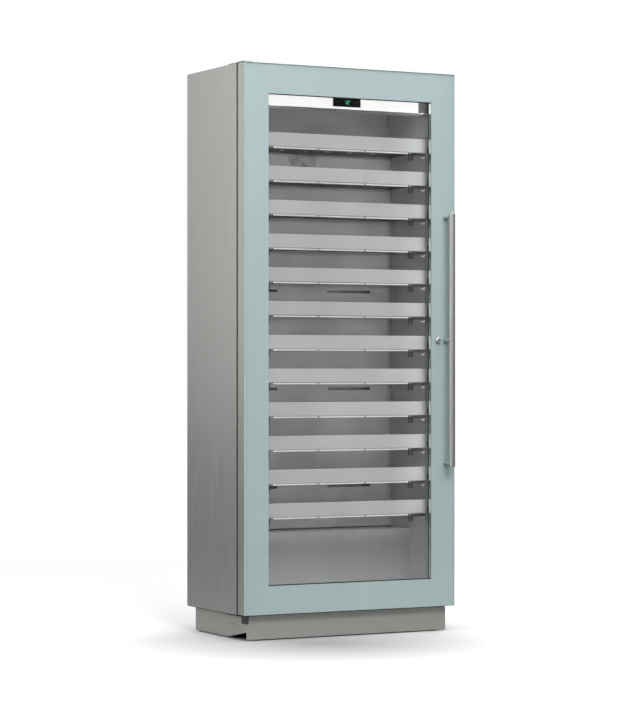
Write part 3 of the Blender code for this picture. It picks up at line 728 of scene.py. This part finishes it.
def shelf_details():
    """A white support rod, its clips, ribbed runner ends and white catches on every shelf."""
    low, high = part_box("shelf_01_front")
    corner_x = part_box("right_rail_ladder")[0].x - 0.0015
    rod_half, rod_radius = 0.2895, 0.0026
    rod_place = Vector((-rod_half, low.y + 0.0062, low.z - 0.0014 - rod_radius))
    rod_end = [(0.0008, 0.0), (0.0032, 0.0010), (0.0034, 0.0030), (0.0032, 0.0052)]
    rod_end += [(rod_radius, 0.0062)]
    rod_profile = rod_end + [(r, 2 * rod_half - d) for r, d in reversed(rod_end)]
    clip = [(-0.0026, -0.0021), (0.0026, -0.0021), (0.0026, 0.0092), (-0.0026, 0.0092)]
    clip_half = 0.004
    hook_place, catch_radius = (0.3640, 0.0012, -0.0195), 0.0026
    catch = [
        (0.0068, 0.002, 0.0085),
        (0.0070, 0.0, 0.0030),
        (0.0048, -0.001, 0.0002),
        (0.0, -0.001, 0.0),
        (-0.0050, -0.001, 0.0008),
        (-0.0078, 0.0, 0.0034),
    ]
    for name in SHELVES:
        shift = Vector((0.0, 0.0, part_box(name + "_front")[1].z - high.z))
        rod = bmesh.new()
        add_turned(rod, rod_place + shift, (1, 0, 0), rod_profile, 14)
        piece(name + "_support_rod", rod, "white_wire", name, 50)

        clips = bmesh.new()
        for x in CLIP_PLACES:
            base = Vector((x, rod_place.y, rod_place.z)) + shift
            outline = [base + Vector((0.0, y, z)) for y, z in clip]
            add_prism(clips, outline, (-clip_half, 0.0, 0.0), (clip_half, 0.0, 0.0))
        piece(name + "_rod_clips", clips, "rail_grey", name)

        ends, catches = bmesh.new(), bmesh.new()
        base = Vector((0.0, high.y + 0.0006, low.z)) + shift
        for side in (-1, 1):
            add_runner_end(ends, side, corner_x, base)
            hook = base + Vector((side * hook_place[0], *hook_place[1:]))
            path = [hook + Vector((side * x, y, z)) for x, y, z in catch]
            add_tube(catches, path, catch_radius)
        piece(name + "_runner_ends", ends, "runner_plastic", name)
        piece(name + "_catches", catches, "catch_white", name, 60)


# ---------------------------------------------------------------- case, machinery and feet
def case_fixings():
    """Screws round the rear panel and the top, and on the hinge plates."""
    low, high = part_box("rear_panel")
    inset, margin, run_in = 0.010, 0.030, 0.150
    sides = (low.x + inset, high.x - inset)
    spots = [(x, high.y, z) for x in sides for z in spread(low.z + margin, high.z - margin, 8)]
    across = spread(low.x + run_in, high.x - run_in, 4)
    spots += [(x, high.y, z) for z in (high.z - inset, low.z + inset) for x in across]
    screws("rear_panel_screws", spots, (0, 1, 0), 0.0042)

    low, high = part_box("top_panel")
    front_margin, back_margin, run_in = 0.110, 0.020, 0.200
    rows = spread(low.y + front_margin, high.y - back_margin, 3)
    spots = [(x, y, high.z) for x in sides for y in rows]
    spots += [(x, high.y - inset, high.z) for x in spread(low.x + run_in, high.x - run_in, 3)]
    screws("top_panel_screws", spots, (0, 0, 1), 0.0040)

    low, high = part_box("upper_hinge")
    spots = [((low.x + high.x) / 2, high.y - step, high.z) for step in (0.010, 0.030)]
    screws("upper_hinge_screws", spots, (0, 0, 1), 0.0052)

    low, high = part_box("lower_hinge")
    spots = [((low.x + high.x) / 2 - 0.002, high.y - step, low.z) for step in (0.012, 0.045)]
    screws("lower_hinge_screws", spots, (0, 0, -1), 0.0048)


def bent_tube(shape, corners, radius, bend):
    """Adds a tube whose corners are rounded off with arcs of the given reach."""
    corners, steps = [Vector(corner) for corner in corners], 6
    path = [corners[0]]
    for before, corner, after in zip(corners, corners[1:], corners[2:]):
        start = corner + (before - corner).normalized() * bend
        end = corner + (after - corner).normalized() * bend
        for n in range(steps + 1):
            t = n / steps
            path.append(start * (1 - t) ** 2 + corner * 2 * t * (1 - t) + end * t**2)
    path.append(corners[-1])
    add_tube(shape, path, radius)


def refrigerant_pipes():
    """A hot pipe from the compressor to the condenser, and a cold one that runs straight up."""
    low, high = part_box("compressor")
    centre = (low + high) / 2
    coil_low, coil_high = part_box("condenser")
    pipe, stub_x, stub_z = 0.0042, centre.x + 0.101, low.z + 0.090
    y, riser_x, bridge_z = centre.y + 0.020, stub_x + 0.030, coil_high.z + 0.017
    inlet_x, inlet_y = coil_low.x + 0.020, coil_high.y - 0.006
    hot = bmesh.new()
    route = [(stub_x, y, stub_z), (riser_x, y, stub_z), (riser_x, y, bridge_z)]
    route += [(inlet_x, y, bridge_z), (inlet_x, inlet_y, bridge_z)]
    route += [(inlet_x, inlet_y, coil_high.z + 0.0005)]
    bent_tube(hot, route, pipe, 0.009)
    piece("discharge_pipe", hot, "copper", "cabinet", 50)

    y, riser_x, ceiling = centre.y - 0.020, stub_x + 0.024, 0.318
    cold = bmesh.new()
    route = [(stub_x, y, stub_z), (riser_x, y, stub_z), (riser_x, y, ceiling)]
    bent_tube(cold, route, pipe, 0.016)
    piece("suction_pipe", cold, "copper", "cabinet", 50)


def condenser_coil():
    """One tube that runs back and forth across the back of the condenser's fins."""
    low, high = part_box("condenser")
    ends = (low.x + 0.008, high.x - 0.008)
    route = []
    for n, z in enumerate(spread(low.z + 0.012, high.z - 0.012, 7)):
        route += [(x, high.y + 0.0048, z) for x in (ends[::-1] if n % 2 else ends)]
    coil = bmesh.new()
    bent_tube(coil, route, 0.0036, 0.010)
    piece("condenser_coil", coil, "black_enamel", "cabinet", 50)


def compressor_details():
    """Four rubber mounts, and the cover over the electrical terminals."""
    low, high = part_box("compressor")
    centre = (low + high) / 2
    foot, neck, tip = 0.0105, 0.0070, 0.0030
    profile = [(foot, 0.0), (foot, 0.003), (neck, 0.005), (neck, 0.008), (tip, 0.009)]
    inset_x, half_y, lift = 0.014, 0.046, 0.0162
    mounts = bmesh.new()
    for x in (low.x + inset_x, high.x - inset_x):
        for y in (centre.y - half_y, centre.y + half_y):
            add_turned(mounts, (x, y, low.z + lift), (0, 0, 1), profile, 16)
    piece("compressor_mounts", mounts, "gasket_rubber", "cabinet", 50)

    side = centre.x - 0.079
    cover_half, clip_half = 0.030, 0.006
    cover_low = (side - 0.028, centre.y - cover_half, low.z + 0.040)
    cover_high = (side, centre.y + cover_half, low.z + 0.100)
    clip_low = (side - 0.031, centre.y - clip_half, low.z + 0.060)
    clip_high = (side - 0.026, centre.y + clip_half, low.z + 0.084)
    cover = bmesh.new()
    add_block(cover, cover_low, cover_high, 0.005, 3)
    add_block(cover, clip_low, clip_high, 0.0015, 2)
    piece("compressor_terminal_cover", cover, "black_plastic", "cabinet", 40)


def foot_nuts():
    """A hexagonal lock nut on each foot's stem."""
    under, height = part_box("base_frame")[0].z, 0.0065
    profile = [(0.0085, 0.0), (0.0098, 0.0010), (0.0098, height - 0.0010), (0.0085, height)]
    for corner in ("front_left", "front_right", "back_left", "back_right"):
        name = "foot_" + corner
        centre = middle(name)
        shape = bmesh.new()
        add_turned(shape, (centre.x, centre.y, under - 0.0070), (0, 0, 1), profile, 6)
        piece(name + "_nut", shape, "zinc_screw", name)


# ---------------------------------------------------------------- stage
def soft_light(name, place, target, width, height, radiance, mirrored=True):
    """A rectangular light, given by how bright its face is."""
    lamp = bpy.data.lights.new(name, "AREA")
    lamp.shape = "RECTANGLE"
    lamp.size, lamp.size_y = width, height
    lamp.energy = radiance * pi * width * height
    made = bpy.data.objects.new(name, lamp)
    made.location = place
    made.rotation_euler = (Vector(target) - Vector(place)).to_track_quat("-Z", "Y").to_euler()
    bpy.context.scene.collection.objects.link(made)
    made.visible_camera = False
    made.visible_glossy = mirrored


def studio_lights():
    """The lights round the object. The low front one would show as a patch in the door's glass."""
    soft_light("key_light", (-1.7, -6.0, 4.3), (0, 0, 1.0), 3.0, 3.0, 2.1)
    soft_light("high_front_light", (-0.6, -4.4, 4.2), (0.1, 0, 1.2), 2.6, 1.6, 11.6)
    soft_light("low_front_light", (-1.4, -5.4, 0.75), (0, 0, 0.5), 2.4, 1.1, 1.9, False)
    soft_light("left_card", (-5.2, -1.2, 1.4), (-0.45, 0.0, 0.9), 2.0, 2.6, 4.6)
    soft_light("side_card", (-3.6, 3.2, 2.2), (-0.45, 0.1, 1.3), 2.4, 3.2, 1.3)
    soft_light("rear_card", (3.9, 3.6, 2.6), (0.2, 0.15, 1.1), 2.6, 2.6, 2.6)
    soft_light("top_light", (0.2, -0.4, 5.0), (0, 0, 0), 4.0, 4.0, 2.6)


def inside_lights():
    """The lit compartment. These lights are placed for the shut door and don't follow it."""
    below_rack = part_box("shelf_12_rack")[0].z - 0.012
    soft_light("compartment_light", (0, -0.06, below_rack), (0, 0, 0.2), 0.7, 0.04, 2.0)
    low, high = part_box("inner_liner")[0].z + 0.30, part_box("control_header")[0].z
    tall, level = high - low, (low + high) / 2
    soft_light("top_bay_light", (0, -0.06, high - 0.004), (0, 0.02, high - 0.1), 0.7, 0.03, 3.5)
    strip_x, strip_y, strip_width = 0.372, -0.118, 0.012
    for side, name, radiance in ((-1, "left_strip_light", 36.0), (1, "right_strip_light", 20.0)):
        place, target = (side * strip_x, strip_y, level), (side * -0.10, 0.18, level)
        soft_light(name, place, target, strip_width, tall, radiance)

    between_panes = (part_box("front_pane")[1].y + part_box("inner_pane")[0].y) / 2
    edge, slant = window_box()[2] - 0.002, 0.10
    place, target = (edge, between_panes, level), (edge - slant, between_panes + slant, level)
    soft_light("right_reveal_light", place, target, 0.02, tall, 4.5, False)
    fill_z = low + 0.30
    place, target = (0, between_panes, fill_z), (0, 0, fill_z)
    soft_light("low_window_fill", place, target, 0.60, 0.80, 0.20, False)


def world():
    """White to the eye. As a source of light it is grey, and darker towards the horizon."""
    made = bpy.data.worlds.new("studio")
    made.use_nodes = True
    tree = made.node_tree
    seen = add(tree, "ShaderNodeLightPath").outputs["Is Camera Ray"]
    way = add(tree, "ShaderNodeTexCoord").outputs["Generated"]
    height = add(tree, "ShaderNodeSeparateXYZ", {"Vector": way}).outputs["Z"]
    inputs = {"Value": height, "From Min": 0.1, "From Max": 0.7, "To Min": 0.055, "To Max": 1.0}
    level = add(tree, "ShaderNodeMapRange", inputs).outputs[0]
    grey = tree.nodes["Background"]
    tree.links.new(level, grey.inputs["Strength"])
    grey.inputs["Color"].default_value = (1.0, 1.0, 1.0, 1.0)
    white = add(tree, "ShaderNodeBackground", {"Color": (1, 1, 1, 1), "Strength": 1.0})
    inputs = {0: seen, 1: grey.outputs[0], 2: white.outputs[0]}
    both = add(tree, "ShaderNodeMixShader", inputs)
    tree.links.new(both.outputs[0], tree.nodes["World Output"].inputs["Surface"])
    bpy.context.scene.world = made


def floor_with_painted_shadow():
    """Pale matt floor with a painted shadow, greyer round the plinth, that fades out far from the
    object.

    It is dark to every ray but the camera's, so it throws little light back up.
    """
    made, tree, shader = material("floor_with_painted_shadow", Roughness=0.85, Specular_IOR_Level=0.1)
    place = add(tree, "ShaderNodeTexCoord").outputs["Object"]
    distance = add(tree, "ShaderNodeVectorMath", {0: place}, operation="LENGTH").outputs["Value"]
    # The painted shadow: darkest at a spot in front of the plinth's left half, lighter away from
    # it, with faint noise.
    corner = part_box("kick_plate")[0]
    inputs = {0: place, 1: (corner.x / 2, corner.y * 2, 0.0)}
    off = add(tree, "ShaderNodeVectorMath", inputs, operation="DISTANCE").outputs["Value"]
    inputs = {0: grain(tree, 1.5), 1: 0.04, 2: off}
    painted_shadow = add(tree, "ShaderNodeMath", inputs, operation="MULTIPLY_ADD").outputs[0]
    grey, pale = (0.30, 0.30, 0.306), (0.76, 0.76, 0.76)
    feed(tree, shader, Base_Color=shades(tree, painted_shadow, grey, pale, 0.05, 0.95))
    dark = add(tree, "ShaderNodeBsdfDiffuse", {"Color": (0.22, 0.22, 0.22, 1.0)})
    seen = add(tree, "ShaderNodeLightPath").outputs["Is Camera Ray"]
    inputs = {0: seen, 1: dark.outputs[0], 2: shader.outputs[0]}
    face = add(tree, "ShaderNodeMixShader", inputs)
    inputs = {"Value": distance, "From Min": 1.2, "From Max": 4.5}
    fade = add(tree, "ShaderNodeMapRange", inputs, interpolation_type="SMOOTHSTEP").outputs[0]
    through = add(tree, "ShaderNodeBsdfTransparent")
    both = add(tree, "ShaderNodeMixShader", {0: fade, 1: face.outputs[0], 2: through.outputs[0]})
    tree.links.new(both.outputs[0], tree.nodes["Material Output"].inputs["Surface"])
    return made


def floor():
    shape = bmesh.new()
    bmesh.ops.create_circle(shape, cap_ends=True, segments=96, radius=5.0)
    mesh = bpy.data.meshes.new("floor")
    shape.to_mesh(mesh)
    shape.free()
    mesh.materials.append(floor_with_painted_shadow())
    made = bpy.data.objects.new("floor", mesh)
    bpy.context.scene.collection.objects.link(made)


def camera():
    lens = bpy.data.cameras.new("camera")
    lens.lens = 126.3
    lens.shift_y = 0.0124
    made = bpy.data.objects.new("camera", lens)
    bpy.context.scene.collection.objects.link(made)
    made.location = (-4.600, -8.538, 0.997)
    made.rotation_euler = (radians(90.0), 0.0, radians(-28.1))
    bpy.context.scene.camera = made


camera()
dress_cad_nodes()
door_glass()
border_print()
lock_surround()
window_edges()
gasket_folds()
display_details()
header_end_block()
shelf_details()
fan_guard()
case_fixings()
refrigerant_pipes()
condenser_coil()
compressor_details()
foot_nuts()
floor()
studio_lights()
inside_lights()
world()
bpy.context.scene.view_settings.view_transform = "Standard"
